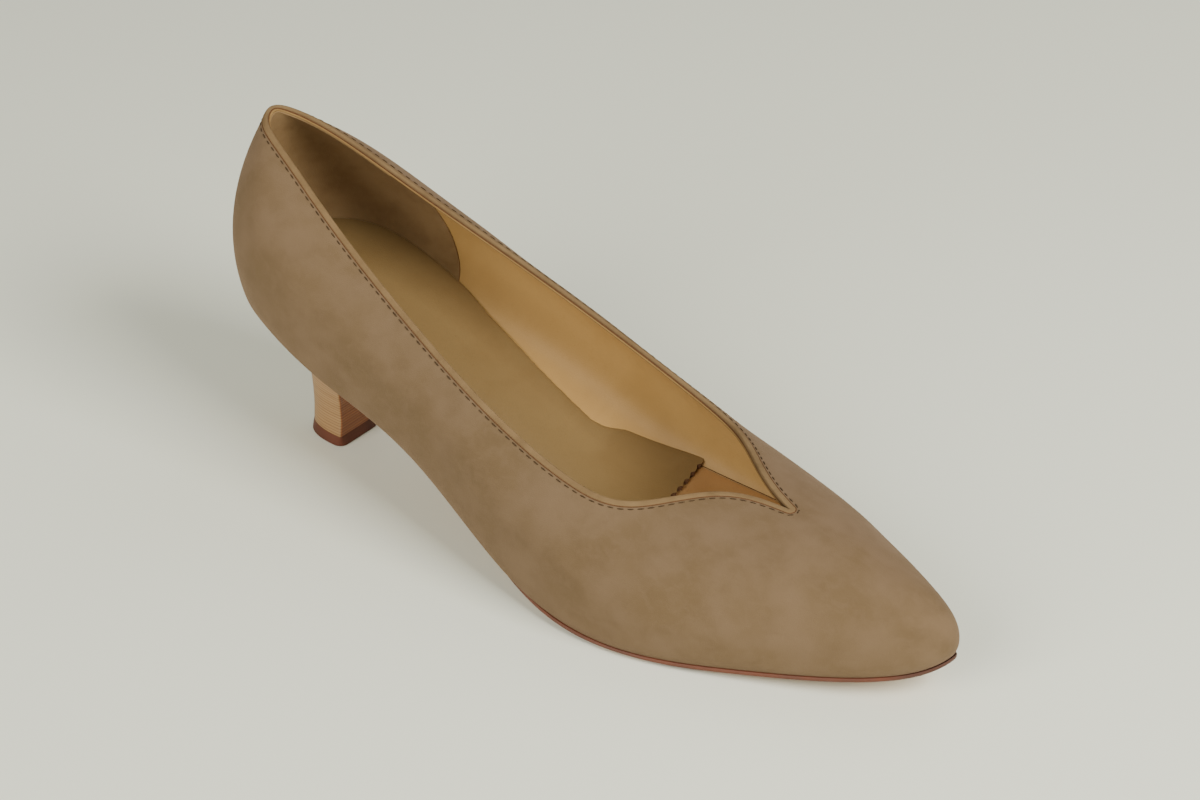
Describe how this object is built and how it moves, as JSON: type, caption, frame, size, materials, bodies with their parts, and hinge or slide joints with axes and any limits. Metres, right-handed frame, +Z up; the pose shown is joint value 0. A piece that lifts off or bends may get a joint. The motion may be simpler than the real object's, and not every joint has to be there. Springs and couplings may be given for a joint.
{
  "type": "pump shoe",
  "caption": "Right suede court shoe with a sweetheart top line, bound edge, leather sock, thin sole and low waisted heel.",
  "frame": {"origin": "on the floor, below the middle of the shoe's box", "axes": "+X towards the toe, +Y to the inner side of the foot, +Z up, the shoe standing on its sole and heel"},
  "size_m": [0.25, 0.0824, 0.1004],
  "materials": {
    "suede": "brushed suede nap",
    "edging": "matte",
    "insole_board": "matte",
    "sock_leather": "satin",
    "sole_leather": "satin",
    "stacked_leather": "polished",
    "lift_rubber": "satin"
  },
  "bodies": {
    "root": {"upper": "suede", "topline_binding": "edging", "insole": "insole_board", "sock": "sock_leather", "outsole": "sole_leather", "heel": "stacked_leather", "top_lift": "lift_rubber"}
  },
  "joints": []
}
